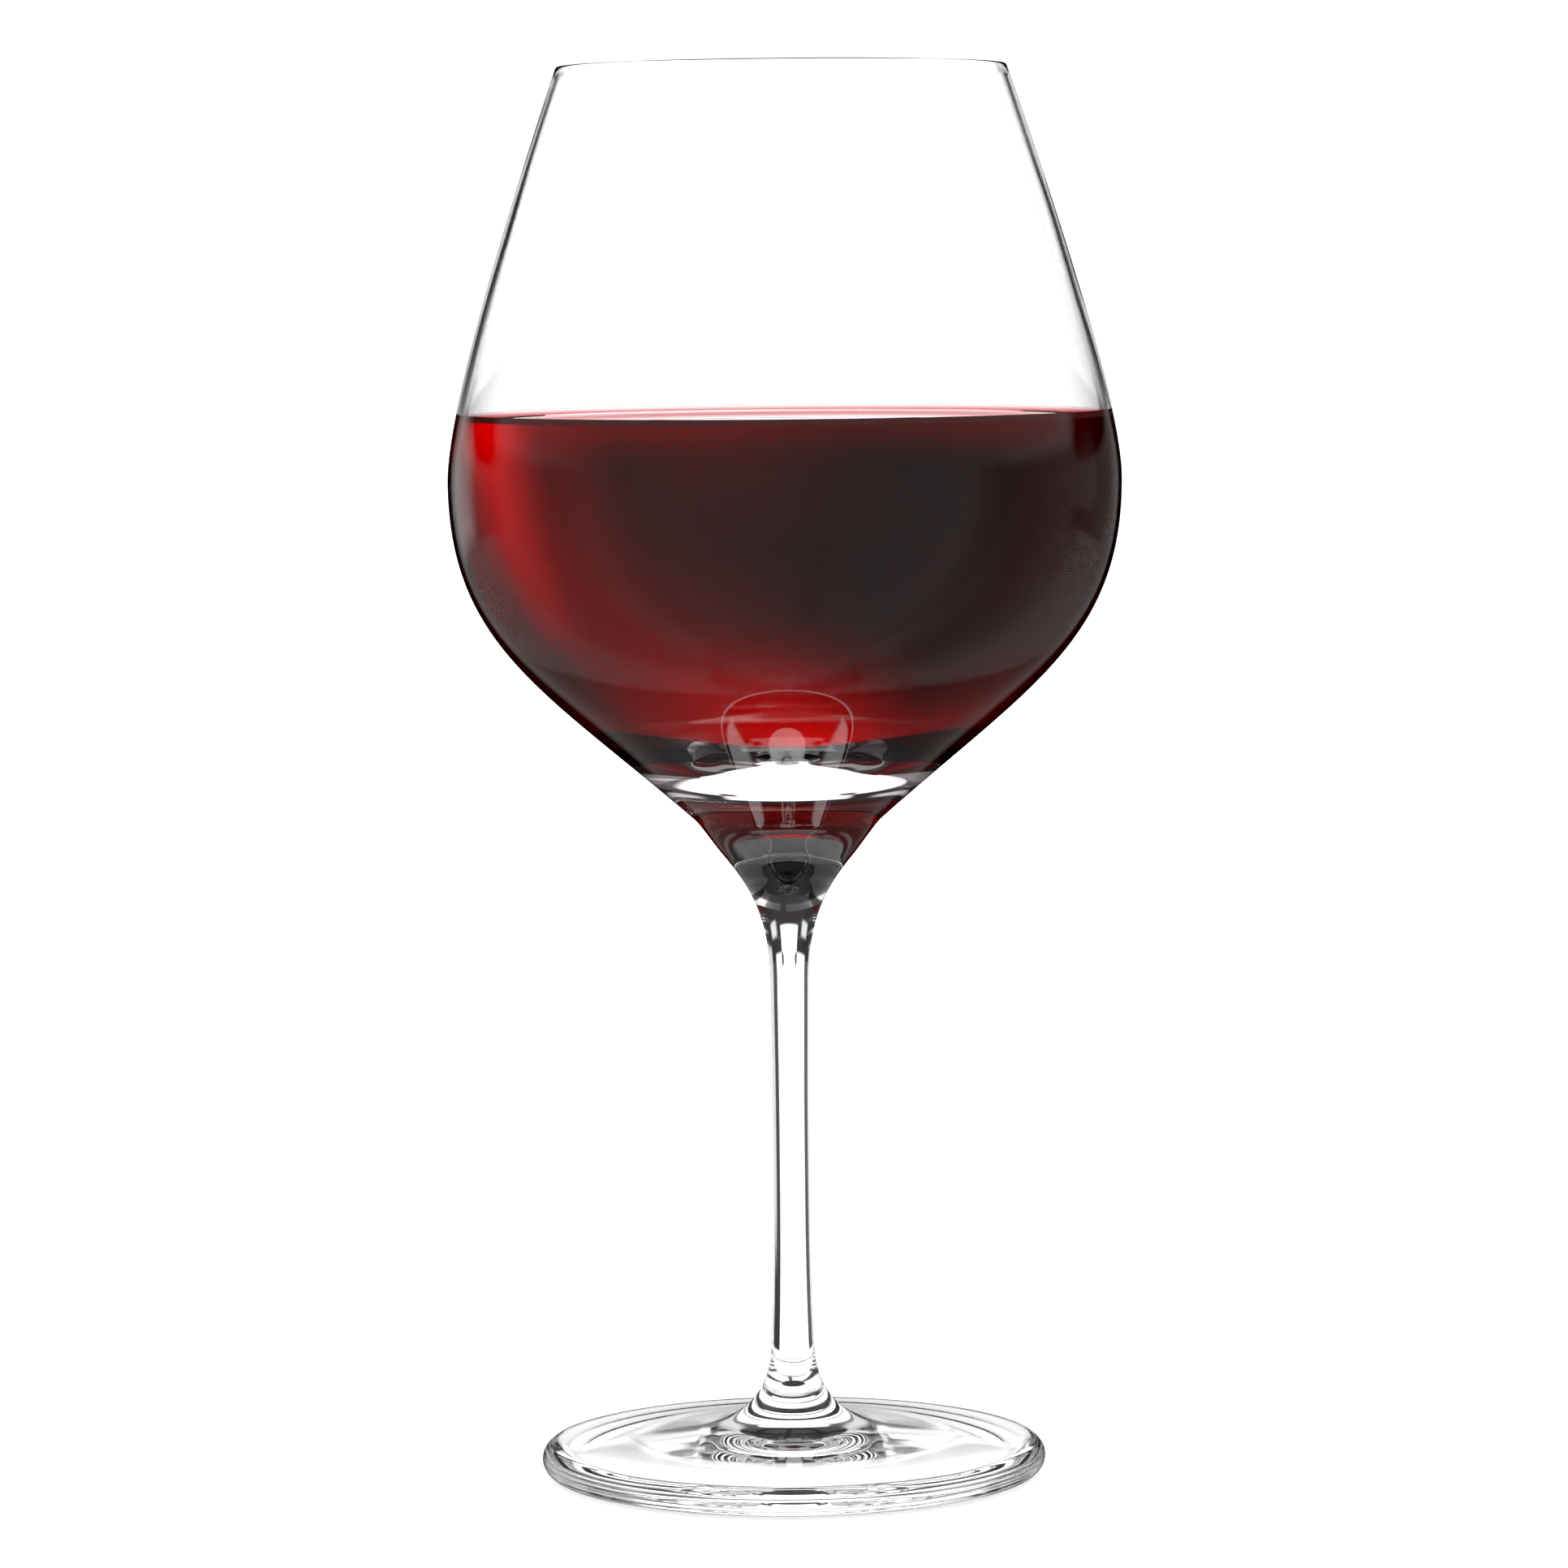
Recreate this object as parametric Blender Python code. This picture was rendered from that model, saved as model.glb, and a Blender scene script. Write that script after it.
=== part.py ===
"""A stemmed glass of red wine.

The glass is one piece: a wide bowl that narrows to its rim, a stem pulled out of the
foot of the bowl, and a round foot. The wine is a second piece that fills the bowl up
to its widest part. Both are turned shapes about the Z axis, with the table at z = 0.
"""

import math

import bpy
import numpy as np

MM = 0.001

# Driving sizes, in millimetres. A lean is the angle in degrees between the wall and
# the vertical, and a pull is the length of a curve's handle along the wall, or its step
# in radius and height where the wall lies nearly flat.
HEIGHT = 228.0
RIM_RADIUS = 36.2
RIM_LEAN = 19.1
RIM_THICKNESS = 1.0
RIM_PULL = 17.6
BELLY_RADIUS = 54.3
BELLY_HEIGHT = 161.7
BELLY_WALL = 1.1
BELLY_PULL_UP = 12.2
BELLY_PULL_DOWN = 26.2
CONE_RADIUS = 15.25
CONE_HEIGHT = 106.9
CONE_LEAN = 48.5
CONE_PULL_UP = 32.2
CONE_PULL_DOWN = 1.5
NECK_RADIUS = 10.6
NECK_HEIGHT = 101.0
NECK_LEAN = 39.5
NECK_PULL_UP = 2.5
NECK_PULL_DOWN = 5.0
STEM_TOP_RADIUS = 3.13
STEM_TOP_HEIGHT = 81.0
STEM_TOP_LEAN = 0.5
STEM_TOP_PULL_UP = 11.0
STEM_TOP_PULL_DOWN = 8.0
WAIST_RADIUS = 2.92
WAIST_HEIGHT = 57.0
WAIST_PULL_UP = 8.0
WAIST_PULL_DOWN = 14.0
STEM_FOOT_RADIUS = 3.5
STEM_FOOT_HEIGHT = 20.0
STEM_FOOT_LEAN = -3.0
STEM_FOOT_PULL_UP = 12.0
STEM_FOOT_PULL_DOWN = 6.5
FOOT_RADIUS = 41.0
FOOT_EDGE = 5.0
EDGE_PULL = (-6.0, 0.3)
EDGE_ARC = 62
INSTEP_RADIUS = 16.0
INSTEP_HEIGHT = 7.2
INSTEP_PULL_IN = (-8.4, 0.9)
INSTEP_PULL_OUT = (8.0, -0.9)
REST_OUTER_RADIUS = 38.6
REST_INNER_RADIUS = 36.0
ARCH_HEIGHT = 2.6
ARCH_PULL_OUT = (-8.0, 1.4)
ARCH_PULL_IN = (12.0, 0.0)
BOWL_FLOOR = 118.0
FLOOR_PULL = 26.0
WALL_PULL = 28.0
WINE_LEVEL = 171.3
GAP = 0.3

SIDES = 48


def along(lean, length):
    """Step of a given length up a wall that leans outwards by an angle."""
    angle = math.radians(lean)
    return np.array([length * math.sin(angle), length * math.cos(angle)])


def span(start, start_pull, end_pull, end, count):
    """Points of a cubic curve from start to just before end, as rows of radius and height.

    The pulls are the steps from start and from end to the curve's two handles.
    """
    start, end = np.array(start), np.array(end)
    t = np.arange(count)[:, None] / count
    handle_a, handle_b = start + start_pull, end + end_pull
    return (
        (1 - t) ** 3 * start
        + 3 * (1 - t) ** 2 * t * handle_a
        + 3 * (1 - t) * t**2 * handle_b
        + t**3 * end
    )


def arc(centre, radius, first, last, count):
    """Points of a circle's arc, both ends included, with angles in degrees from outwards."""
    angle = np.radians(np.linspace(first, last, count))
    return np.array(centre) + radius * np.column_stack([np.cos(angle), np.sin(angle)])


def lip():
    """The rounded rim, from the inner wall over the top to the outer wall."""
    half = RIM_THICKNESS / 2
    outward = math.radians(RIM_LEAN)
    centre = (RIM_RADIUS - half * math.cos(outward), HEIGHT - half)
    return arc(centre, half, RIM_LEAN + 180, RIM_LEAN, 7)


def bowl_inside():
    """The inner wall, from the middle of the bowl's floor up to just under the lip."""
    floor = (0.0, BOWL_FLOOR)
    belly = (BELLY_RADIUS - BELLY_WALL, BELLY_HEIGHT)
    rim = lip()[0]
    lower = span(floor, (FLOOR_PULL, 0.0), (0.0, -WALL_PULL), belly, 14)
    upper = span(belly, (0.0, BELLY_PULL_UP), along(-RIM_LEAN, -RIM_PULL), rim, 7)
    return np.vstack([lower, upper])


def bowl_outside():
    """The outer wall, from the lip down to the point where the bowl turns into the stem."""
    rim = lip()[-1]
    belly = (BELLY_RADIUS, BELLY_HEIGHT)
    cone = (CONE_RADIUS, CONE_HEIGHT)
    upper = span(rim, along(-RIM_LEAN, -RIM_PULL), (0.0, BELLY_PULL_UP), belly, 7)
    lower = span(belly, (0.0, -BELLY_PULL_DOWN), along(CONE_LEAN, CONE_PULL_UP), cone, 9)
    return np.vstack([upper[1:], lower])


def stem_outside():
    """The stem with its flare at each end, down to the instep of the foot."""
    cone = (CONE_RADIUS, CONE_HEIGHT)
    neck = (NECK_RADIUS, NECK_HEIGHT)
    top = (STEM_TOP_RADIUS, STEM_TOP_HEIGHT)
    waist = (WAIST_RADIUS, WAIST_HEIGHT)
    bottom = (STEM_FOOT_RADIUS, STEM_FOOT_HEIGHT)
    instep = (INSTEP_RADIUS, INSTEP_HEIGHT)
    cone_down = along(CONE_LEAN, -CONE_PULL_DOWN)
    neck_up = along(NECK_LEAN, NECK_PULL_UP)
    neck_down = along(NECK_LEAN, -NECK_PULL_DOWN)
    top_up = along(STEM_TOP_LEAN, STEM_TOP_PULL_UP)
    top_down = along(STEM_TOP_LEAN, -STEM_TOP_PULL_DOWN)
    bottom_up = along(STEM_FOOT_LEAN, STEM_FOOT_PULL_UP)
    bottom_down = along(STEM_FOOT_LEAN, -STEM_FOOT_PULL_DOWN)
    return np.vstack(
        [
            span(cone, cone_down, neck_up, neck, 2),
            span(neck, neck_down, top_up, top, 6),
            span(top, top_down, (0.0, WAIST_PULL_UP), waist, 2),
            span(waist, (0.0, -WAIST_PULL_DOWN), bottom_up, bottom, 3),
            span(bottom, bottom_down, INSTEP_PULL_IN, instep, 6),
        ]
    )


def foot_outside():
    """The foot: its sloping top, rounded edge, flat rest and arched underside."""
    half = FOOT_EDGE / 2
    middle = np.array([[0.0, ARCH_HEIGHT]])
    edge_top = (FOOT_RADIUS - half + 0.4, FOOT_EDGE - 0.2)
    instep = (INSTEP_RADIUS, INSTEP_HEIGHT)
    top = span(instep, INSTEP_PULL_OUT, EDGE_PULL, edge_top, 3)
    edge = arc((FOOT_RADIUS - half, half), half, EDGE_ARC, -EDGE_ARC, 6)
    rest = np.array([[REST_OUTER_RADIUS, 0.0]])
    arch = span((REST_INNER_RADIUS, 0.0), ARCH_PULL_OUT, ARCH_PULL_IN, middle[0], 5)
    return np.vstack([top, edge, rest, arch, middle])


def wine_profile():
    """The wine: up the middle of its flat top, out to the wall, and down to its middle."""
    wall = bowl_inside()
    radius, height = wall[:, 0], wall[:, 1]
    wet = wall[height < WINE_LEVEL - 1.0]
    step = np.gradient(wall, axis=0)[: len(wet)]
    normal = np.column_stack([-step[:, 1], step[:, 0]])
    normal /= np.linalg.norm(normal, axis=1)[:, None]
    side = (wet + GAP * normal)[::-1]
    side[-1, 0] = 0.0
    brim = (np.interp(WINE_LEVEL, height[1:], radius[1:]) - GAP, WINE_LEVEL)
    return np.vstack([[0.0, WINE_LEVEL], brim, side])


def material(name, colour, roughness, transmission, ior):
    """A dielectric with the colour, roughness and clearness of the real one."""
    made = bpy.data.materials.new(name)
    made.use_nodes = True
    shader = made.node_tree.nodes["Principled BSDF"]
    shader.inputs["Base Color"].default_value = (*colour, 1.0)
    shader.inputs["Roughness"].default_value = roughness
    shader.inputs["Metallic"].default_value = 0.0
    shader.inputs["Transmission Weight"].default_value = transmission
    shader.inputs["IOR"].default_value = ior
    made.diffuse_color = (*colour, 1.0)
    return made


def turned(name, profile, finish):
    """A closed solid turned about Z from a profile that starts and ends on the axis."""
    mesh = bpy.data.meshes.new(name)
    points = [(radius * MM, 0.0, height * MM) for radius, height in profile]
    edges = [(index, index + 1) for index in range(len(points) - 1)]
    mesh.from_pydata(points, edges, [])
    solid = bpy.data.objects.new(name, mesh)
    bpy.context.collection.objects.link(solid)
    lathe = solid.modifiers.new("turn", "SCREW")
    lathe.axis = "Z"
    lathe.angle = math.tau
    lathe.steps = SIDES
    lathe.render_steps = SIDES
    lathe.use_merge_vertices = True
    lathe.merge_threshold = 0.00001
    lathe.use_smooth_shade = True
    mesh.materials.append(finish)
    return solid


def build():
    """Clears the scene and makes the glass and the wine in it."""
    for leftover in list(bpy.data.objects):
        bpy.data.objects.remove(leftover)
    crystal = material("clear_glass", (0.98, 0.99, 0.99), 0.02, 1.0, 1.52)
    red = material("red_wine", (0.05, 0.004, 0.006), 0.03, 0.0, 1.34)
    glass = np.vstack([bowl_inside(), lip(), bowl_outside(), stem_outside(), foot_outside()])
    turned("glass", glass, crystal)
    turned("wine", wine_profile(), red)


build()
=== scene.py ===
"""A stemmed glass of red wine on a white table, built over the shared frame.

The glass and the wine are surfaces turned about the Z axis. Every length is in millimetres
until it is put into a mesh, a setting or a node.
"""

import math

import bpy
import numpy as np
from mathutils import Matrix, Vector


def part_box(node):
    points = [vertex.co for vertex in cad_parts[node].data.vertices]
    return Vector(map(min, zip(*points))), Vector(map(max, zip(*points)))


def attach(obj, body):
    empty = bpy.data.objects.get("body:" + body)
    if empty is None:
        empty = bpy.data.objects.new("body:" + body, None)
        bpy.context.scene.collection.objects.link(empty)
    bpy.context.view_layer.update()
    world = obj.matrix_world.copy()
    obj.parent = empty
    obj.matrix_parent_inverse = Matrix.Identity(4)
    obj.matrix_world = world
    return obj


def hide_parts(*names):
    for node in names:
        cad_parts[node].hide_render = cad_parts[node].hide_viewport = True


bl_info = {
    "name": "Glass of red wine",
    "version": (1, 0, 0),
    "blender": (4, 5, 0),
    "location": "3D View > Sidebar > Wine",
    "description": "Builds a stemmed glass of red wine and the white studio it stands in",
    "category": "Add Mesh",
}

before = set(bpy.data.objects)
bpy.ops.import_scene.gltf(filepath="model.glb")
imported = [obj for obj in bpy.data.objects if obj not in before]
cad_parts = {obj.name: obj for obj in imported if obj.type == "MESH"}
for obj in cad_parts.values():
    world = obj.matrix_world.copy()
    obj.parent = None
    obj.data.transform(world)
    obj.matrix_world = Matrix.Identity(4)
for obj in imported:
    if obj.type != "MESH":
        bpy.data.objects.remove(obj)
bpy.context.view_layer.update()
MM = 0.001
GLASS_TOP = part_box("glass")[1][2] / MM
WINE_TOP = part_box("wine")[1][2] / MM

# The bowl, stem and foot. A lean is the angle in degrees between a wall and the vertical, and
# a pull is the length of a curve's handle along the wall, or its step in radius and height
# where the wall lies nearly flat.
RIM_RADIUS = 36.2
RIM_LEAN = 19.1
RIM_PULL = 17.6
BELLY_RADIUS = 54.3
BELLY_HEIGHT = 161.7
BELLY_PULL_UP = 12.2
BELLY_PULL_DOWN = 26.2
CONE_RADIUS = 15.25
CONE_HEIGHT = 106.9
CONE_LEAN = 48.5
CONE_PULL_UP = 32.2
CONE_PULL_DOWN = 1.5
NECK_RADIUS = 10.6
NECK_HEIGHT = 101.0
NECK_LEAN = 39.5
NECK_PULL_UP = 2.5
NECK_PULL_DOWN = 5.0
STEM_TOP_RADIUS = 3.13
STEM_TOP_HEIGHT = 81.0
STEM_TOP_LEAN = 0.5
STEM_TOP_PULL_UP = 11.0
STEM_TOP_PULL_DOWN = 8.0
WAIST_RADIUS = 2.92
WAIST_HEIGHT = 57.0
WAIST_PULL_UP = 8.0
WAIST_PULL_DOWN = 14.0
STEM_FOOT_RADIUS = 3.5
STEM_FOOT_HEIGHT = 20.0
STEM_FOOT_LEAN = -3.0
STEM_FOOT_PULL_UP = 12.0
STEM_FOOT_PULL_DOWN = 6.5
INSTEP_RADIUS = 16.0
INSTEP_HEIGHT = 7.2
INSTEP_PULL_IN = (-8.4, 0.9)
INSTEP_PULL_OUT = (8.0, -0.9)
FOOT_RADIUS = 41.0
FOOT_EDGE = 5.0
EDGE_TOP = (38.9, 4.8)
EDGE_PULL = (-6.0, 0.3)
EDGE_ARC = 62
REST_OUTER_RADIUS = 38.6
REST_INNER_RADIUS = 36.0
ARCH_HEIGHT = 2.6
ARCH_PULL_OUT = (-8.0, 1.4)
ARCH_PULL_IN = (12.0, 0.0)
BOWL_FLOOR = 118.0
FLOOR_PULL = 26.0
WALL_PULL = 28.0

# Steps along each curve of the profile, fine enough for smooth reflections.
LIP_POINTS = 13
BOWL_UPPER_STEPS = 30
BOWL_INSIDE_STEPS = 84
BOWL_OUTSIDE_STEPS = 60
CONE_STEPS = 12
NECK_STEPS = 36
STEM_TOP_STEPS = 8
STEM_STEPS = 12
FLARE_STEPS = 40
FOOT_TOP_STEPS = 16
EDGE_POINTS = 17
ARCH_STEPS = 24

# The slight waves left in glass that is blown and drawn hot: their length and height.
GLASS_IOR = 1.52
WAVE_LENGTH = 20.0
WAVE_HEIGHT = 0.04

# The wine reaches this far into the wall, so that no air gap shows between the two.
WINE_OVERLAP = 0.12
WINE_IOR = 1.345

# Over the thick base the wine's underside bends no light, so that the base mirrors its
# surroundings in black and white. Out to a little further the bowl's floor is glass tinted black,
# painted shade that lets no red light down.
BASE_RADIUS = 20.0
BASE_IOR = 1.0
BASE_SHADE_RADIUS = 24.0

# How much of a bare surface's reflection is left where wine wets the glass.
WETTED_MIRROR = 0.02

# The climb at the wall: how far from the wall it has faded to a third, how far out it is
# drawn in such steps, and the points along it.
CLIMB_REACH = 3.5
CLIMB_SPAN = 5
CLIMB_POINTS = 40

# The film that the climb leaves on the wall glows with painted light, in place of the light
# through the thin wine. Its painted glow from outside, dark where the wine behind it is deep, and
# from inside; how dense it is at the level; how far in from the wall it reaches; and how far over
# the level it starts. The open surface counts from a little under the level.
FILM_GLOW_OUTSIDE = "421616"
FILM_GLOW_INSIDE = "E17C7C"
FILM_STRENGTH = 0.9
FILM_DEPTH = 0.35
FILM_START = 0.25
SURFACE_MARGIN = 0.05

# The wine's colour is that of white light after this much of it.
COLOUR_DEPTH = 10.0

# The table top: corners of its round edge, how far its face lies under the foot, and the
# light that it sends out, which keeps it as bright as the backdrop.
TABLE_CORNERS = 96
TABLE_DROP = 0.2
TABLE_GLOW = 0.35

# The camera that the photograph's ellipses give, in metres and degrees.
CAMERA_PLACE = (-0.00059, -1.0009, 0.1957)
CAMERA_TILT = 4.76
CAMERA_ROLL = 0.55
CAMERA_LENS = 142.45
CAMERA_SENSOR = 36.0

# Soft boxes and black cards round the glass as (bearing from, to, edge; height from, to, edge;
# slant; brightness). Bearings are degrees clockwise from straight behind the glass, heights
# are degrees above its horizon, and the slant moves the bearing by that much a degree of
# height. Each group is the light that one kind of ray meets: through clear glass, through
# wine, or mirrored by the outside of the glass. A card takes light away.
GLASS_ROOM = 0.03
GLASS_BOXES = {
    "backdrop": (-38, 29, 6, -16, 1, 2, 0.0, 1.6),
    "backdrop_top": (-14, 14, 3, 1, 12, 2, 0.0, 1.6),
    "black_card_left": (-15, -11, 2, -3, 1, 2, 0.0, -1.6),
    "black_card_right": (11, 15, 2, -3, 1, 2, 0.0, -1.6),
    "table": (-60, 60, 30, -72, -16, 2, 0.0, 1.9),
    "table_far": (-38, 29, 6, -16, -10.6, 2, 0.0, 0.3),
    "table_left": (-190, -64, 8, -72, 10, 3, 0.0, 1.1),
    "table_right": (62, 190, 8, -72, 10, 3, 0.0, 1.1),
    "black_card_side": (-128, -112, 5, -72, 10, 3, 0.0, -1.05),
    "black_card_front": (97, 111, 5, -72, 10, 3, 0.0, -1.05),
    "black_card_camera": (160, 174, 5, -72, 10, 3, 0.0, -1.05),
    "high_left": (-36, -22, 6, 8, 16, 3, 0.0, 0.9),
    "high_right": (22, 36, 6, 8, 16, 3, 0.0, 0.9),
    "side_strip": (46, 62, 8, -10, 6, 3, 0.0, 0.9),
}
WINE_ROOM = 0.33
WINE_BOXES = {
    "centre_low": (-4, 8.7, 18.7, -40, -15, 38.7, 0.63, 14.4),
    "right_glow": (15.8, 56, 8.6, -40, 14, 30.4, 0.29, 1.93),
    "strip_edge": (26.4, 35.7, 6.1, -40, 17, 8.9, 0.24, 2.16),
    "strip": (29.5, 41.6, 16.7, -30, -2.7, 39.8, 0.6, 17.4),
    "window_haze": (13.2, 13.9, 40, 5.5, 60, 32.6, 0.17, 11.4),
    "back_window": (0.2, 13.1, 20.8, 16.1, 60, 14.5, 0.3, 7.8),
    "back_high": (-42.7, 15.3, 40, 31, 60, 29.8, -0.33, 3.93),
    "side_haze": (-13.7, 84, 40, -30, -5.7, 4.1, -1.71, 2.5),
}
MIRROR_ROOM = 0.36
MIRROR_BOXES = {
    "behind": (-20, 20, 8, -60, 5, 4, 0.0, -0.36),
    "left_wall": (-46, -26, 10, -8, 6, 4, 0.0, 0.5),
    "left_side": (-105, -20, 30, -90, 8, 4, 0.0, -0.2),
    "right_side": (20, 105, 30, -90, 8, 4, 0.0, -0.26),
    "above": (-60, 60, 10, 5, 80, 4, 0.0, -0.36),
}

# A ray that has gone through at least this many surfaces has met the wine. A ray that comes
# straight from the camera, or from a matt surface, meets plain white of this brightness.
WINE_CROSSINGS = 5
WHITE_SEEN = 1.05

# The most often that a ray may turn inside the glass.
RAY_TURNS = 24


def linear(hex_colour):
    """Linear red, green and blue of an sRGB colour such as 'D8676C'."""
    parts = [int(hex_colour[place : place + 2], 16) / 255 for place in (0, 2, 4)]
    return tuple(
        part / 12.92 if part <= 0.04045 else ((part + 0.055) / 1.055) ** 2.4 for part in parts
    )


WHITE = (*linear("FFFFFF"), 1.0)
BLACK = (*linear("000000"), 1.0)


def add_node(tree, kind, inputs=None, **settings):
    """Adds a node, sets its properties, and sets or links each of its inputs.

    An input that is a node stands for that node's first output.
    """
    made = tree.nodes.new(kind)
    for name, value in settings.items():
        setattr(made, name, value)
    for socket, value in (inputs or {}).items():
        if isinstance(value, bpy.types.Node):
            value = value.outputs[0]
        if isinstance(value, bpy.types.NodeSocket):
            tree.links.new(value, made.inputs[socket])
        else:
            made.inputs[socket].default_value = value
    return made


def along(lean, length):
    """Step of a given length up a wall that leans outwards: length times sine and cosine."""
    angle = math.radians(lean)
    return np.array([length * math.sin(angle), length * math.cos(angle)])


def span(start, start_pull, end_pull, end, count):
    """Points of a cubic Bezier curve from start to just before end, as radius and height.

    The pulls are the steps from start and from end to the curve's two handles.
    """
    start, end = np.array(start), np.array(end)
    t = np.arange(count)[:, None] / count
    handle_a, handle_b = start + start_pull, end + end_pull
    return (
        (1 - t) ** 3 * start
        + 3 * (1 - t) ** 2 * t * handle_a
        + 3 * (1 - t) * t**2 * handle_b
        + t**3 * end
    )


def arc(centre, radius, first, last, count):
    """Points of a circle's arc, both ends included: centre plus radius times cosine, sine."""
    angle = np.radians(np.linspace(first, last, count))
    return np.array(centre) + radius * np.column_stack([np.cos(angle), np.sin(angle)])


def lip(settings):
    """The rounded rim: half a circle as wide as the wall, over the top of the bowl."""
    half = settings.rim_thickness / MM / 2
    outward = math.radians(RIM_LEAN)
    centre = (RIM_RADIUS - half * math.cos(outward), GLASS_TOP - half)
    return arc(centre, half, RIM_LEAN + 180, RIM_LEAN, LIP_POINTS)


def bowl_inside(settings):
    """The inner wall: one curve from the floor to the belly and one on to the lip."""
    floor = (0.0, BOWL_FLOOR)
    belly = (BELLY_RADIUS - settings.belly_wall / MM, BELLY_HEIGHT)
    up, rim_pull = (0.0, BELLY_PULL_UP), along(-RIM_LEAN, -RIM_PULL)
    lower = span(floor, (FLOOR_PULL, 0.0), (0.0, -WALL_PULL), belly, BOWL_INSIDE_STEPS)
    upper = span(belly, up, rim_pull, lip(settings)[0], BOWL_UPPER_STEPS)
    return np.vstack([lower, upper])


def bowl_outside(settings):
    """The outer wall: from the lip to the belly, and on down to where the stem begins."""
    belly = (BELLY_RADIUS, BELLY_HEIGHT)
    cone = (CONE_RADIUS, CONE_HEIGHT)
    up, rim_pull = (0.0, BELLY_PULL_UP), along(-RIM_LEAN, -RIM_PULL)
    down, cone_pull = (0.0, -BELLY_PULL_DOWN), along(CONE_LEAN, CONE_PULL_UP)
    upper = span(lip(settings)[-1], rim_pull, up, belly, BOWL_UPPER_STEPS)
    lower = span(belly, down, cone_pull, cone, BOWL_OUTSIDE_STEPS)
    return np.vstack([upper[1:], lower])


def stem_outside():
    """The stem: cone, neck, straight part with its waist, and the flare to the instep."""
    cone = (CONE_RADIUS, CONE_HEIGHT)
    neck = (NECK_RADIUS, NECK_HEIGHT)
    top = (STEM_TOP_RADIUS, STEM_TOP_HEIGHT)
    waist = (WAIST_RADIUS, WAIST_HEIGHT)
    bottom = (STEM_FOOT_RADIUS, STEM_FOOT_HEIGHT)
    instep = (INSTEP_RADIUS, INSTEP_HEIGHT)
    cone_down = along(CONE_LEAN, -CONE_PULL_DOWN)
    neck_up = along(NECK_LEAN, NECK_PULL_UP)
    neck_down = along(NECK_LEAN, -NECK_PULL_DOWN)
    top_up = along(STEM_TOP_LEAN, STEM_TOP_PULL_UP)
    top_down = along(STEM_TOP_LEAN, -STEM_TOP_PULL_DOWN)
    bottom_up = along(STEM_FOOT_LEAN, STEM_FOOT_PULL_UP)
    bottom_down = along(STEM_FOOT_LEAN, -STEM_FOOT_PULL_DOWN)
    return np.vstack(
        [
            span(cone, cone_down, neck_up, neck, CONE_STEPS),
            span(neck, neck_down, top_up, top, NECK_STEPS),
            span(top, top_down, (0.0, WAIST_PULL_UP), waist, STEM_TOP_STEPS),
            span(waist, (0.0, -WAIST_PULL_DOWN), bottom_up, bottom, STEM_STEPS),
            span(bottom, bottom_down, INSTEP_PULL_IN, instep, FLARE_STEPS),
        ]
    )


def foot_outside():
    """The foot: its sloping top, rounded edge, flat resting ring and arched underside."""
    half = FOOT_EDGE / 2
    instep = (INSTEP_RADIUS, INSTEP_HEIGHT)
    rest = (REST_INNER_RADIUS, 0.0)
    middle = (0.0, ARCH_HEIGHT)
    return np.vstack(
        [
            span(instep, INSTEP_PULL_OUT, EDGE_PULL, EDGE_TOP, FOOT_TOP_STEPS),
            arc((FOOT_RADIUS - half, half), half, EDGE_ARC, -EDGE_ARC, EDGE_POINTS),
            [[REST_OUTER_RADIUS, 0.0]],
            span(rest, ARCH_PULL_OUT, ARCH_PULL_IN, middle, ARCH_STEPS),
            [middle],
        ]
    )


def wine_profile(glass, wine):
    """The wine: flat top, climb at the wall that fades as an exponential, and the wall.

    The side is the inner wall moved outwards by the overlap along its own normal.
    """
    wall = bowl_inside(glass)
    step = np.gradient(wall, axis=0)
    outward = np.column_stack([step[:, 1], -step[:, 0]])
    outward /= np.linalg.norm(outward, axis=1)[:, None]
    side = wall + WINE_OVERLAP * outward
    side[0, 0] = 0.0
    level = wine.level / MM
    climb = wine.climb / MM
    edge = np.interp(level + climb, side[1:, 1], side[1:, 0])
    back = CLIMB_SPAN * CLIMB_REACH * np.linspace(1, 0, CLIMB_POINTS) ** 2
    top = np.column_stack([edge - back, level + climb * np.exp(-back / CLIMB_REACH)])
    wet = side[side[:, 1] < level + climb]
    return np.vstack([[[0.0, level]], top, wet[::-1]])


def turned(name, profile, sides):
    """A closed surface turned about Z: radius times cosine and sine of the turn, and height.

    The profile starts and ends on the axis, where a fan of triangles closes it.
    """
    ring = profile[1:-1] * MM
    rows = len(ring)
    turn = np.arange(sides) * math.tau / sides
    points = np.empty((rows, sides, 3))
    points[..., 0] = ring[:, :1] * np.cos(turn)
    points[..., 1] = ring[:, :1] * np.sin(turn)
    points[..., 2] = ring[:, 1:]
    poles = [[0.0, 0.0, profile[0, 1] * MM], [0.0, 0.0, profile[-1, 1] * MM]]
    here = np.arange(sides)
    after = (here + 1) % sides
    low = np.arange(rows - 1)[:, None] * sides
    quads = np.stack([low + here, low + sides + here, low + sides + after, low + after], -1)
    first = np.column_stack([here, after, np.full(sides, rows * sides)])
    last = (rows - 1) * sides
    final = np.column_stack([last + after, last + here, np.full(sides, rows * sides + 1)])
    faces = quads.reshape(-1, 4).tolist() + first.tolist() + final.tolist()
    mesh = bpy.data.meshes.new(name)
    mesh.from_pydata(np.vstack([points.reshape(-1, 3), poles]).tolist(), [], faces)
    mesh.polygons.foreach_set("use_smooth", np.ones(len(faces), bool))
    mesh.update()
    piece = bpy.data.objects.new(name, mesh)
    bpy.context.scene.collection.objects.link(piece)
    return piece


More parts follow.
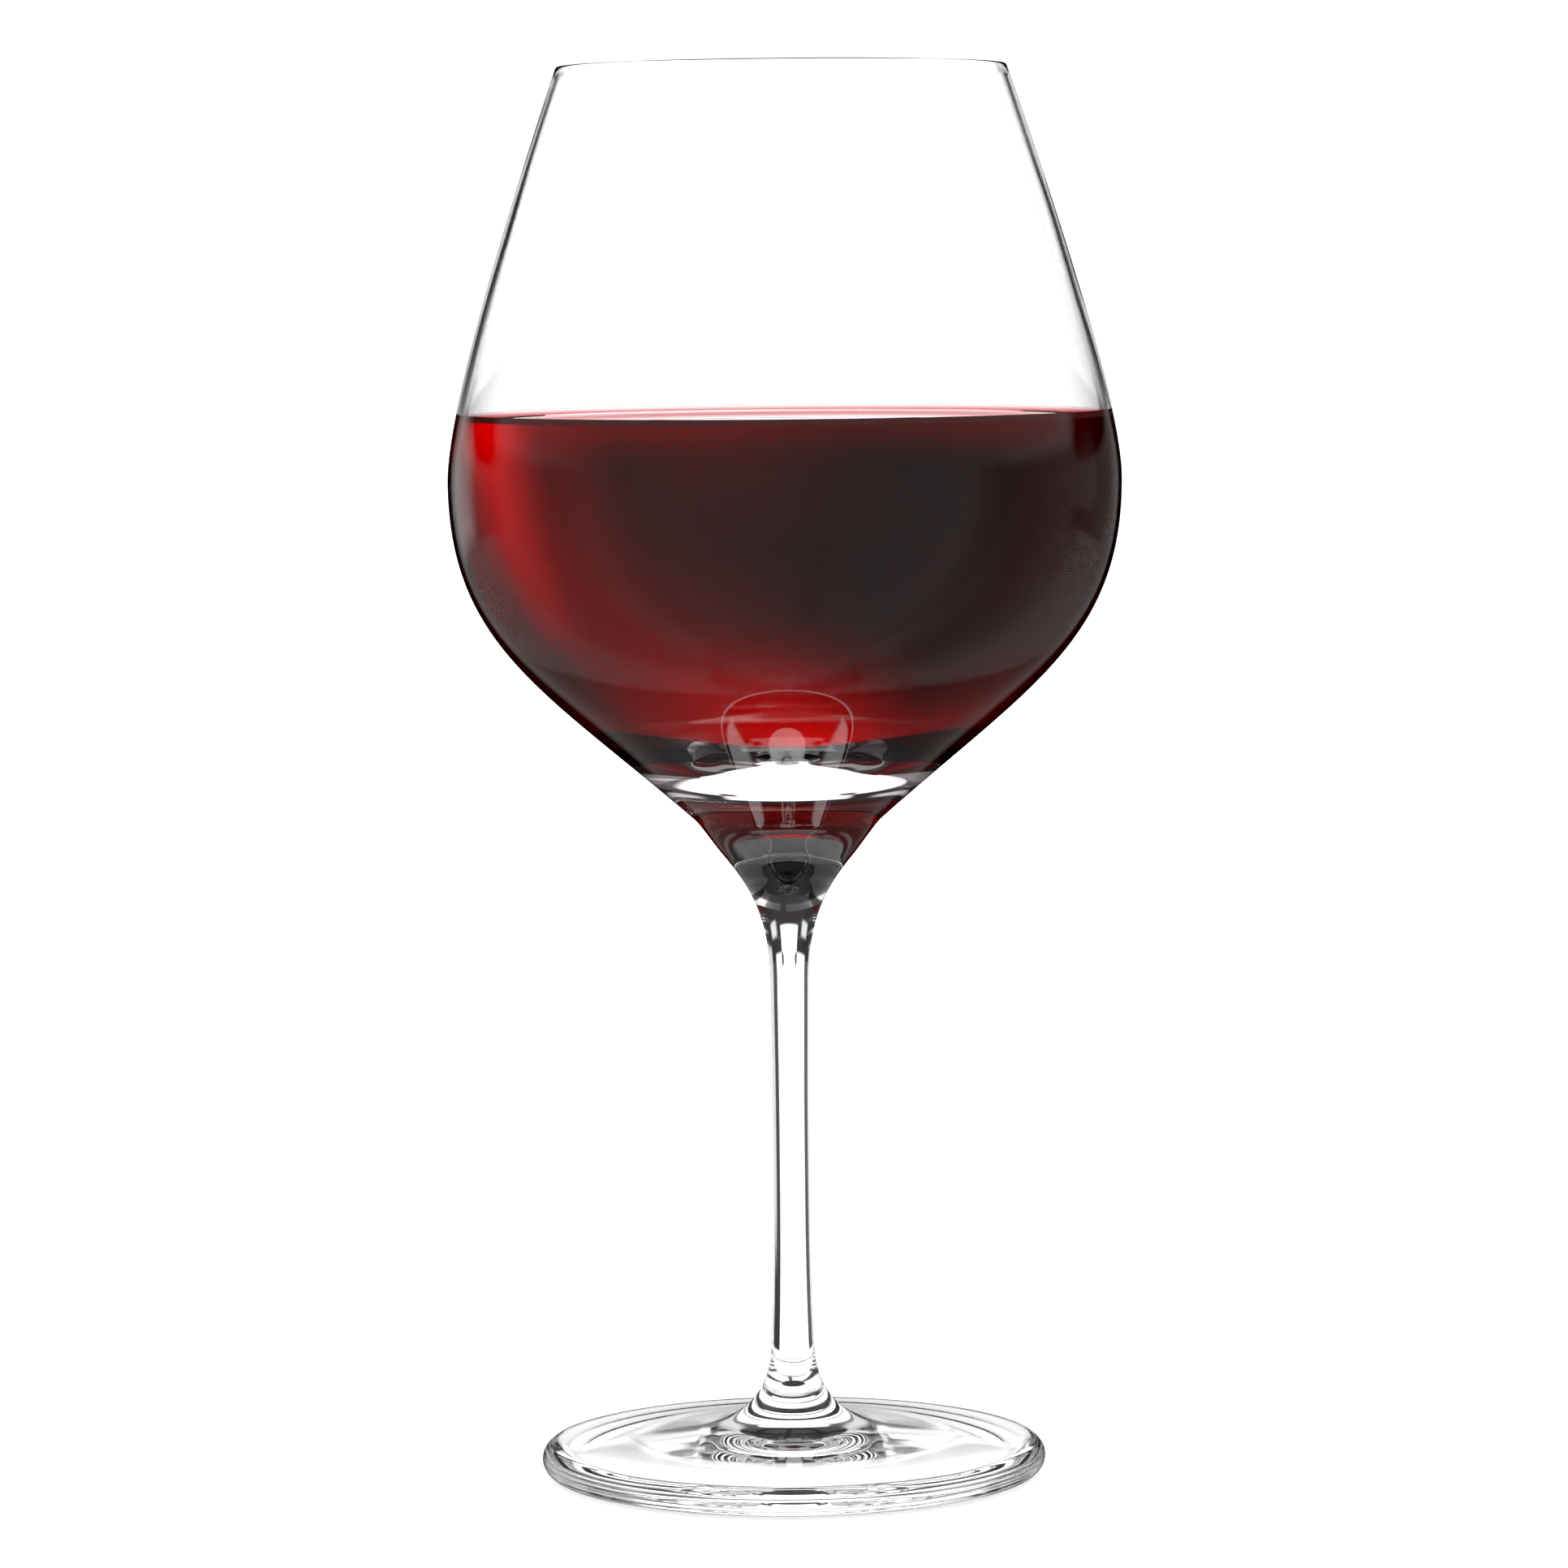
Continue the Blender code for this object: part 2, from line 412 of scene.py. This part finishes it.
def crystal(name, colour, mirror):
    """Fire-polished lead-free crystal glass: clear, with sharp reflections and no texture.

    Blown and drawn hot, it keeps very slight waves, which the bump gives.
    """
    made = bpy.data.materials.new(name)
    made.use_nodes = True
    tree = made.node_tree
    shader = tree.nodes["Principled BSDF"]
    shader.inputs["Base Color"].default_value = (*colour, 1.0)
    shader.inputs["Roughness"].default_value = 0.0
    shader.inputs["IOR"].default_value = GLASS_IOR
    shader.inputs["Transmission Weight"].default_value = 1.0
    shader.inputs["Specular Tint"].default_value = (mirror, mirror, mirror, 1.0)
    place = add_node(tree, "ShaderNodeTexCoord").outputs["Object"]
    scale = 1.0 / (WAVE_LENGTH * MM)
    waves = add_node(
        tree, "ShaderNodeTexNoise", {"Vector": place, "Scale": scale, "Detail": 0.0}
    )
    bump = add_node(
        tree, "ShaderNodeBump", {"Height": waves, "Distance": WAVE_HEIGHT * MM, "Strength": 1.0}
    )
    tree.links.new(bump.outputs[0], shader.inputs["Normal"])
    return made


def red_wine(settings, base_height, film_radius):
    """Clear red wine: a still liquid, dark where it is deep and red where it is thin.

    Absorption for each metre is minus the natural logarithm of the colour over its depth. The
    open surface mirrors fully; where wine wets the glass their boundary mirrors almost nothing.
    The climb at the wall is a film that lets no light through and glows instead, painted light in
    place of the light through the thin wine: a painted dark red from outside and a painted pink
    glow from inside. It fades evenly from the level to the top of the climb.
    """
    made = bpy.data.materials.new("red_wine_and_painted_film_glow")
    made.use_nodes = True
    tree = made.node_tree
    shader = tree.nodes["Principled BSDF"]
    shader.inputs["Roughness"].default_value = 0.0
    level = settings.level
    place = add_node(tree, "ShaderNodeTexCoord").outputs["Object"]
    height = add_node(tree, "ShaderNodeSeparateXYZ", {0: place}).outputs[2]
    flat = add_node(
        tree, "ShaderNodeVectorMath", {0: place, 1: (1.0, 1.0, 0.0)}, operation="MULTIPLY"
    )
    radius = add_node(tree, "ShaderNodeVectorMath", {0: flat}, operation="LENGTH").outputs[1]
    inside = add_node(tree, "ShaderNodeNewGeometry").outputs["Backfacing"]
    limits = {0: height, 1: base_height}
    over_base = add_node(tree, "ShaderNodeMath", limits, operation="LESS_THAN")
    limits = {0: height, 1: level - SURFACE_MARGIN * MM}
    is_open = add_node(tree, "ShaderNodeMath", limits, operation="GREATER_THAN")
    limits = {0: height, 1: level + FILM_START * MM}
    raised = add_node(tree, "ShaderNodeMath", limits, operation="GREATER_THAN")
    limits = {0: radius, 1: film_radius}
    outer = add_node(tree, "ShaderNodeMath", limits, operation="GREATER_THAN")
    film = add_node(tree, "ShaderNodeMath", {0: raised, 1: outer}, operation="MULTIPLY")
    fade = {0: height, 1: level, 2: level + settings.climb, 3: FILM_STRENGTH, 4: 0.0}
    thin = add_node(tree, "ShaderNodeMapRange", fade)
    seen = add_node(tree, "ShaderNodeMix", {0: inside, 2: 1.0, 3: thin}, data_type="FLOAT")
    shown = add_node(tree, "ShaderNodeMath", {0: film, 1: seen}, operation="MULTIPLY")
    wetted = (WETTED_MIRROR, WETTED_MIRROR, WETTED_MIRROR, 1.0)
    # Where the film is, the wine is a black sheet that glows: painted light, dark red from outside
    # and pink from inside, standing in for the light through the thin wine at the wall.
    numbers = {
        "IOR": {0: over_base, 2: WINE_IOR, 3: BASE_IOR},
        "Transmission Weight": {0: film, 2: 1.0, 3: 0.0},
        "Emission Strength": {0: film, 2: 0.0, 3: 1.0},
        "Alpha": {0: raised, 2: 1.0, 3: shown},
    }
    colours = {
        "Base Color": {0: film, 6: WHITE, 7: BLACK},
        "Specular Tint": {0: is_open, 6: wetted, 7: WHITE},
        "Emission Color": {
            0: inside,
            6: (*linear(FILM_GLOW_OUTSIDE), 1.0),
            7: (*linear(FILM_GLOW_INSIDE), 1.0),
        },
    }
    for name, inputs in numbers.items():
        shader.inputs[name].default_value = inputs[2]
        mixed = add_node(tree, "ShaderNodeMix", inputs, data_type="FLOAT")
        tree.links.new(mixed.outputs[0], shader.inputs[name])
    for name, inputs in colours.items():
        shader.inputs[name].default_value = inputs[6]
        mixed = add_node(tree, "ShaderNodeMix", inputs, data_type="RGBA")
        tree.links.new(mixed.outputs[2], shader.inputs[name])
    taken = [-math.log(part) / (COLOUR_DEPTH * MM) for part in settings.colour]
    colour = (*[1.0 - part / max(taken) for part in taken], 1.0)
    depth = add_node(
        tree, "ShaderNodeVolumeAbsorption", {"Density": max(taken), "Color": colour}
    )
    tree.links.new(depth.outputs[0], tree.nodes["Material Output"].inputs["Volume"])
    return made


def table_top(settings):
    """A matt white laminated table top, lit so evenly that it is as bright as the backdrop."""
    turn = np.arange(TABLE_CORNERS) * math.tau / TABLE_CORNERS
    drop = np.full(TABLE_CORNERS, -TABLE_DROP * MM)
    radius = settings.table_radius
    edge = np.column_stack([radius * np.cos(turn), radius * np.sin(turn), drop])
    mesh = bpy.data.meshes.new("table_top")
    mesh.from_pydata(edge.tolist(), [], [list(range(TABLE_CORNERS))])
    table = bpy.data.objects.new("table_top", mesh)
    bpy.context.scene.collection.objects.link(table)
    made = bpy.data.materials.new("white_matt_laminate")
    made.use_nodes = True
    shader = made.node_tree.nodes["Principled BSDF"]
    shader.inputs["Base Color"].default_value = (*settings.table, 1.0)
    shader.inputs["Roughness"].default_value = 0.8
    shader.inputs["Specular IOR Level"].default_value = 0.0
    shader.inputs["Emission Color"].default_value = WHITE
    shader.inputs["Emission Strength"].default_value = TABLE_GLOW
    mesh.materials.append(made)
    table.visible_transmission = False
    table.visible_glossy = False


def studio(scene):
    """The light: rooms of soft boxes and black cards, each a window of bearing and height."""
    world = bpy.data.worlds.new("studio")
    scene.world = world
    world.use_nodes = True
    tree = world.node_tree
    tree.nodes.clear()
    place = add_node(tree, "ShaderNodeTexCoord").outputs["Generated"]
    right, behind, up = add_node(tree, "ShaderNodeSeparateXYZ", {0: place}).outputs
    turn = add_node(tree, "ShaderNodeMath", {0: right, 1: behind}, operation="ARCTAN2")
    rise = add_node(tree, "ShaderNodeMath", {0: up}, operation="ARCSINE")
    bearing = add_node(tree, "ShaderNodeMath", {0: turn}, operation="DEGREES")
    height = add_node(tree, "ShaderNodeMath", {0: rise}, operation="DEGREES")

    def window(value, low, high, edge):
        """1 from low to high, with smooth edges of the given width: a rise times a fall."""
        rising = {0: value, 1: low - edge / 2, 2: low + edge / 2, 3: 0.0, 4: 1.0}
        falling = {0: value, 1: high - edge / 2, 2: high + edge / 2, 3: 1.0, 4: 0.0}
        sides = {
            0: add_node(tree, "ShaderNodeMapRange", rising, interpolation_type="SMOOTHSTEP"),
            1: add_node(tree, "ShaderNodeMapRange", falling, interpolation_type="SMOOTHSTEP"),
        }
        return add_node(tree, "ShaderNodeMath", sides, operation="MULTIPLY")

    def room(base, boxes):
        """The brightness of a room: its base and each box's share added, never under 0."""
        total = base
        for low, high, edge, bottom, top, soft, slant, brightness in boxes.values():
            slanted = add_node(
                tree, "ShaderNodeMath", {0: height, 1: slant, 2: bearing}, operation="MULTIPLY_ADD"
            )
            views = {0: window(slanted, low, high, edge), 1: window(height, bottom, top, soft)}
            share = add_node(tree, "ShaderNodeMath", views, operation="MULTIPLY")
            inputs = {0: share, 1: brightness, 2: total}
            total = add_node(tree, "ShaderNodeMath", inputs, operation="MULTIPLY_ADD")
        return add_node(tree, "ShaderNodeMath", {0: total, 1: 0.0}, operation="MAXIMUM")

    ray = add_node(tree, "ShaderNodeLightPath").outputs
    unscattered = add_node(
        tree, "ShaderNodeMath", {0: ray["Diffuse Depth"], 1: 0.5}, operation="LESS_THAN"
    )
    inputs = {0: ray["Is Reflection Ray"], 1: unscattered}
    mirrored = add_node(tree, "ShaderNodeMath", inputs, operation="MULTIPLY")
    inputs = {0: ray["Is Transmission Ray"], 1: unscattered}
    clear = add_node(tree, "ShaderNodeMath", inputs, operation="MULTIPLY")
    inputs = {0: ray["Transmission Depth"], 1: WINE_CROSSINGS - 0.5}
    many = add_node(tree, "ShaderNodeMath", inputs, operation="GREATER_THAN")
    through_wine = add_node(tree, "ShaderNodeMath", {0: clear, 1: many}, operation="MULTIPLY")
    steps = (
        (mirrored, room(MIRROR_ROOM, MIRROR_BOXES)),
        (clear, room(GLASS_ROOM, GLASS_BOXES)),
        (through_wine, room(WINE_ROOM, WINE_BOXES)),
    )
    seen = WHITE_SEEN
    for share, value in steps:
        inputs = {0: share, 2: seen, 3: value}
        seen = add_node(tree, "ShaderNodeMix", inputs, data_type="FLOAT")
    light = add_node(tree, "ShaderNodeBackground", {"Color": WHITE, "Strength": seen})
    add_node(tree, "ShaderNodeOutputWorld", {0: light})
    scene.view_settings.view_transform = "Standard"
    scene.view_settings.look = "None"
    scene.cycles.max_bounces = RAY_TURNS
    scene.cycles.transmission_bounces = RAY_TURNS
    scene.cycles.glossy_bounces = RAY_TURNS


def camera(scene):
    """A long lens a metre in front of the glass, a little above the wine, looking down."""
    made = bpy.data.cameras.new("camera")
    made.lens = CAMERA_LENS
    made.sensor_width = CAMERA_SENSOR
    holder = bpy.data.objects.new("camera", made)
    scene.collection.objects.link(holder)
    holder.matrix_world = (
        Matrix.Translation(CAMERA_PLACE)
        @ Matrix.Rotation(math.radians(90 - CAMERA_TILT), 4, "X")
        @ Matrix.Rotation(math.radians(-CAMERA_ROLL), 4, "Z")
    )
    scene.camera = holder


class GlassSettings(bpy.types.PropertyGroup):
    """Sizes and colour of the empty glass."""

    sides: bpy.props.IntProperty(
        name="Sides", description="Flat faces round the glass", default=208, min=24, max=256
    )
    rim_thickness: bpy.props.FloatProperty(
        name="Rim thickness",
        description="Thickness of the rounded lip",
        default=1.0 * MM,
        subtype="DISTANCE",
        unit="LENGTH",
    )
    belly_wall: bpy.props.FloatProperty(
        name="Wall",
        description="Thickness of the wall at its widest part",
        default=1.1 * MM,
        subtype="DISTANCE",
        unit="LENGTH",
    )
    colour: bpy.props.FloatVectorProperty(
        name="Glass",
        description="Colour of the light that comes through",
        default=linear("FEFFFF"),
        subtype="COLOR",
        min=0.0,
        max=1.0,
    )


class WineSettings(bpy.types.PropertyGroup):
    """Colour, level and edge of the wine."""

    level: bpy.props.FloatProperty(
        name="Level",
        description="Height of the wine above the table",
        default=WINE_TOP * MM,
        subtype="DISTANCE",
        unit="LENGTH",
    )
    climb: bpy.props.FloatProperty(
        name="Climb",
        description="How far the wine climbs at the wall",
        default=1.2 * MM,
        subtype="DISTANCE",
        unit="LENGTH",
    )
    colour: bpy.props.FloatVectorProperty(
        name="Wine",
        description="Colour of white light after 10 mm of wine",
        default=linear("D8676C"),
        subtype="COLOR",
        min=0.0,
        max=1.0,
    )


class StageSettings(bpy.types.PropertyGroup):
    """The white table top."""

    table: bpy.props.FloatVectorProperty(
        name="Table",
        description="Colour of the table top",
        default=linear("F7F7F6"),
        subtype="COLOR",
        min=0.0,
        max=1.0,
    )
    table_radius: bpy.props.FloatProperty(
        name="Table radius",
        description="Half the width of the round table top",
        default=6.0,
        subtype="DISTANCE",
        unit="LENGTH",
    )


class DRINK_OT_glass(bpy.types.Operator):
    """Builds the bowl, stem and foot as one turned piece of clear glass"""

    bl_idname = "drink.glass"
    bl_label = "Glass"

    def execute(self, context):
        """Turns the profile, and gives the wetted wall and the floor their own finishes.

        Wine and glass bend light almost alike, so their boundary hardly mirrors anything. The
        floor over the thick base mirrors, but its glass is tinted black, painted shade that lets
        no light through.
        """
        settings = context.scene.glass_settings
        inside = bowl_inside(settings)
        profile = np.vstack(
            [inside, lip(settings), bowl_outside(settings), stem_outside(), foot_outside()]
        )
        piece = turned("glass_blown", profile, settings.sides)
        mesh = piece.data
        mesh.materials.append(crystal("fire_polished_crystal", settings.colour, 1.0))
        mesh.materials.append(crystal("crystal_wetted_by_wine", settings.colour, WETTED_MIRROR))
        # The bowl's floor over the base is the same glass tinted black: painted shade, so that no
        # light passes down through it.
        mesh.materials.append(crystal("crystal_painted_shade_under_wine", BLACK[:3], 1.0))
        wet_rows = int(np.sum(inside[:, 1] < context.scene.wine_settings.level / MM))
        base_rows = int(np.sum(inside[:, 0] < BASE_SHADE_RADIUS))
        rows = len(profile) - 2
        finish = np.zeros(len(mesh.polygons), np.int32)
        finish[: (wet_rows - 1) * settings.sides] = 1
        finish[: (base_rows - 1) * settings.sides] = 2
        floor_fan = slice((rows - 1) * settings.sides, rows * settings.sides)
        finish[floor_fan] = 2
        mesh.polygons.foreach_set("material_index", finish)
        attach(piece, "root")
        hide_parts("glass")
        return {"FINISHED"}


class DRINK_OT_wine(bpy.types.Operator):
    """Builds the wine up to its level, with the edge that climbs the wall"""

    bl_idname = "drink.wine"
    bl_label = "Wine"

    def execute(self, context):
        """Turns the wine, and tells its finish how high the base and how wide the film is."""
        glass = context.scene.glass_settings
        wine = context.scene.wine_settings
        profile = wine_profile(glass, wine)
        underside = profile[profile[:, 1] < BELLY_HEIGHT][::-1]
        base_height = np.interp(BASE_RADIUS, underside[:, 0], underside[:, 1])
        wall_radius = profile[profile[:, 1] > wine.level / MM + FILM_START, 0].max()
        film_radius = wall_radius - FILM_DEPTH
        piece = turned("wine_poured", profile, glass.sides)
        piece.data.materials.append(red_wine(wine, base_height * MM, film_radius * MM))
        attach(piece, "root")
        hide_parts("wine")
        return {"FINISHED"}


class DRINK_OT_stage(bpy.types.Operator):
    """Builds the white table, the soft boxes and the camera"""

    bl_idname = "drink.stage"
    bl_label = "Table, light and camera"

    def execute(self, context):
        """Makes the stage in three steps."""
        table_top(context.scene.stage_settings)
        studio(context.scene)
        camera(context.scene)
        return {"FINISHED"}


class DRINK_PT_panel(bpy.types.Panel):
    """Sizes, colours and buttons for the glass of wine"""

    bl_idname = "DRINK_PT_panel"
    bl_label = "Glass of red wine"
    bl_space_type = "VIEW_3D"
    bl_region_type = "UI"
    bl_category = "Wine"

    def draw(self, context):
        """Lists each group's settings above its button."""
        scene = context.scene
        groups = (
            (scene.glass_settings, DRINK_OT_glass),
            (scene.wine_settings, DRINK_OT_wine),
            (scene.stage_settings, DRINK_OT_stage),
        )
        for settings, operator in groups:
            box = self.layout.box()
            for name in settings.__annotations__:
                box.prop(settings, name)
            box.operator(operator.bl_idname)


CLASSES = (
    GlassSettings,
    WineSettings,
    StageSettings,
    DRINK_OT_glass,
    DRINK_OT_wine,
    DRINK_OT_stage,
    DRINK_PT_panel,
)


def register():
    """Registers the classes and hangs the settings on the scene."""
    for made in CLASSES:
        bpy.utils.register_class(made)
    bpy.types.Scene.glass_settings = bpy.props.PointerProperty(type=GlassSettings)
    bpy.types.Scene.wine_settings = bpy.props.PointerProperty(type=WineSettings)
    bpy.types.Scene.stage_settings = bpy.props.PointerProperty(type=StageSettings)


def unregister():
    """Takes the settings and the classes away again."""
    del bpy.types.Scene.glass_settings
    del bpy.types.Scene.wine_settings
    del bpy.types.Scene.stage_settings
    for made in reversed(CLASSES):
        bpy.utils.unregister_class(made)


def main():
    register()
    bpy.ops.drink.glass()
    bpy.ops.drink.wine()
    bpy.ops.drink.stage()


if __name__ == "__main__":
    main()
